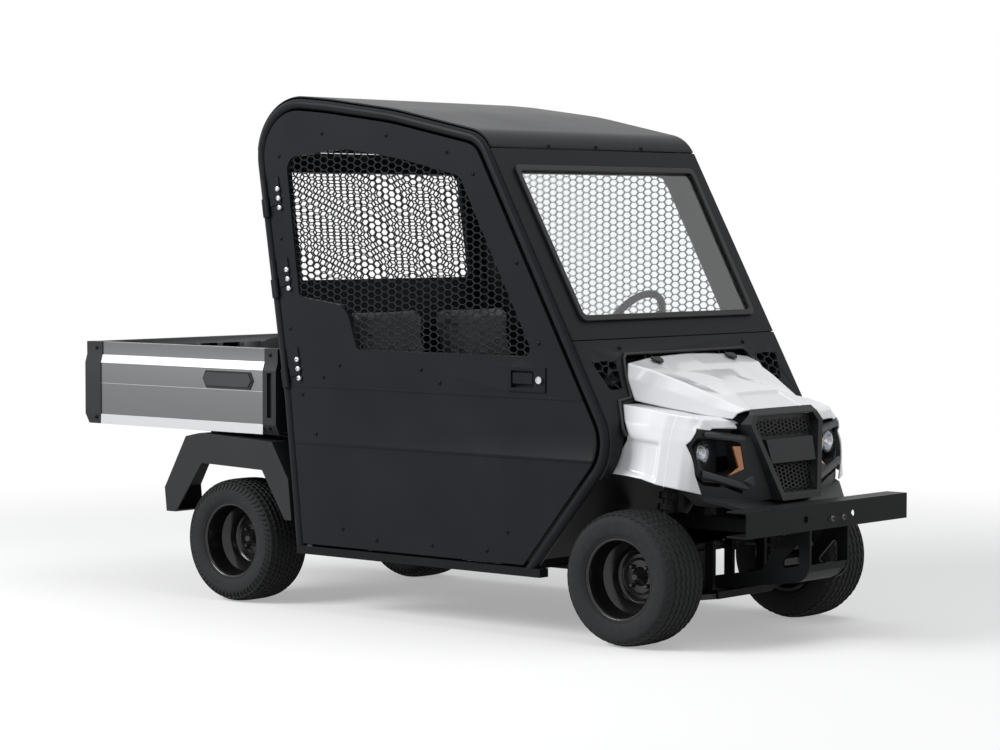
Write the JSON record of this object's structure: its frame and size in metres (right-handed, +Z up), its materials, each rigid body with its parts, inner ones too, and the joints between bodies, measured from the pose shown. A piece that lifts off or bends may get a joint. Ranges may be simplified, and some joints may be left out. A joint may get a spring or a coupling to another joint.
{
  "type": "golf utility cart",
  "caption": "Utility cart with an enclosed mesh-windowed steel cab, hinged doors and hood, a tipping cargo bed with tailgate, and steered front wheels.",
  "frame": {"origin": "on the ground under the middle of the cart's overall length and width", "axes": "+X forward, +Y to the driver's left, +Z up"},
  "size_m": [3.368, 1.338, 2.0427],
  "materials": {
    "cab_black": "satin powder coat",
    "frame_black": "matt powder coat",
    "moulding_black": "grained moulding",
    "hood_white": "gloss",
    "bed_silver": "metallic",
    "seal_rubber": "matt",
    "pane": "clear",
    "lamp_clear": "clear lens",
    "lamp_amber": "amber lens",
    "tyre": "matt",
    "wheel_black": "gloss black",
    "steel": "plain",
    "seat": "soft vinyl",
    "engine": "plain"
  },
  "bodies": {
    "chassis": {"chassis_frame": "frame_black", "floor_pan": "frame_black", "cab_hoop_right": "cab_black", "cab_hoop_left": "cab_black", "cab_crossbars": "cab_black", "roof_panel": "cab_black", "windshield_panel": "cab_black", "windshield_seal": "seal_rubber", "windshield_glass": "pane", "cowl_panel": "cab_black", "cab_rear_panel": "cab_black", "rear_window_mesh": "cab_black", "front_fender_right": "hood_white", "front_fender_left": "hood_white", "front_fascia": "moulding_black", "inner_tray": "moulding_black", "headlamps": "lamp_clear", "turn_signals": "lamp_amber", "bumper_beam": "frame_black", "bumper_brackets": "frame_black", "front_crossmember": "frame_black", "front_suspension": "steel", "steering_rack": "steel", "rear_axle": "steel", "rear_suspension": "steel", "engine_block": "engine", "rear_fender_right": "moulding_black", "rear_fender_left": "moulding_black", "seat_box": "moulding_black", "seat_cushion": "seat", "seat_back_right": "seat", "seat_back_left": "seat", "dashboard": "moulding_black"},
    "door_right": {"door_right": "cab_black", "door_mesh_right": "cab_black"},
    "door_left": {"door_left": "cab_black", "door_mesh_left": "cab_black"},
    "hood": {"hood": "hood_white"},
    "bed": {"bed_floor": "moulding_black", "bed_side_right": "bed_silver", "bed_side_left": "bed_silver", "bed_end_caps": "moulding_black"},
    "tailgate": {"tailgate": "bed_silver"},
    "knuckle_right": {"steer_knuckle_right": "steel"},
    "knuckle_left": {"steer_knuckle_left": "steel"},
    "rack": {"tie_rods": "steel"},
    "steering_wheel": {"steering_wheel": "moulding_black"},
    "wheel_front_right": {"tyre_front_right": "tyre", "wheel_front_right": "wheel_black"},
    "wheel_front_left": {"tyre_front_left": "tyre", "wheel_front_left": "wheel_black"},
    "wheel_rear_right": {"tyre_rear_right": "tyre", "wheel_rear_right": "wheel_black"},
    "wheel_rear_left": {"tyre_rear_left": "tyre", "wheel_rear_left": "wheel_black"}
  },
  "joints": [
    {"name": "door_right_hinge", "type": "hinge", "parent": "chassis", "child": "door_right", "pos_m": [-0.52445, -0.66, 1.32], "axis": [0.1557, 0, -0.9878], "range_deg": [0, 85]},
    {"name": "door_left_hinge", "type": "hinge", "parent": "chassis", "child": "door_left", "pos_m": [-0.52445, 0.66, 1.32], "axis": [-0.1557, 0, 0.9878], "range_deg": [0, 85]},
    {"name": "hood_hinge", "type": "hinge", "parent": "chassis", "child": "hood", "pos_m": [1.018, 0, 1.036], "axis": [0, -1, 0], "range_deg": [0, 50]},
    {"name": "bed_tilt", "type": "hinge", "parent": "chassis", "child": "bed", "pos_m": [-1.264, 0, 0.632], "axis": [0, -1, 0], "range_deg": [0, 40]},
    {"name": "tailgate_hinge", "type": "hinge", "parent": "bed", "child": "tailgate", "pos_m": [-1.672, 0, 0.712], "axis": [0, -1, 0], "range_deg": [0, 90]},
    {"name": "knuckle_right_steer", "type": "hinge", "parent": "chassis", "child": "knuckle_right", "pos_m": [1.186, -0.38, 0.25], "axis": [0, 0, 1], "range_deg": [-26, 26]},
    {"name": "knuckle_left_steer", "type": "hinge", "parent": "chassis", "child": "knuckle_left", "pos_m": [1.186, 0.38, 0.25], "axis": [0, 0, 1], "range_deg": [-26, 26]},
    {"name": "wheel_front_right_spin", "type": "hinge", "parent": "knuckle_right", "child": "wheel_front_right", "pos_m": [1.186, -0.53, 0.25], "axis": [0, 1, 0], "continuous": true},
    {"name": "wheel_front_left_spin", "type": "hinge", "parent": "knuckle_left", "child": "wheel_front_left", "pos_m": [1.186, 0.53, 0.25], "axis": [0, 1, 0], "continuous": true},
    {"name": "wheel_rear_right_spin", "type": "hinge", "parent": "chassis", "child": "wheel_rear_right", "pos_m": [-0.814, -0.53, 0.25], "axis": [0, 1, 0], "continuous": true},
    {"name": "wheel_rear_left_spin", "type": "hinge", "parent": "chassis", "child": "wheel_rear_left", "pos_m": [-0.814, 0.53, 0.25], "axis": [0, 1, 0], "continuous": true},
    {"name": "rack_slide", "type": "slide", "parent": "chassis", "child": "rack", "axis": [0, 1, 0], "range_m": [-0.053, 0.053]},
    {"name": "steering_turn", "type": "hinge", "parent": "chassis", "child": "steering_wheel", "pos_m": [0.566, 0.28, 1.105], "axis": [-0.8564, 0, 0.5163], "range_deg": [-361, 361]}
  ],
  "couplings": [
    {"joint": "knuckle_left_steer", "follows": "knuckle_right_steer", "ratio": 1},
    {"joint": "rack_slide", "follows": "knuckle_right_steer", "m_per_rad": -0.115},
    {"joint": "steering_turn", "follows": "knuckle_right_steer", "ratio": 13.846}
  ]
}
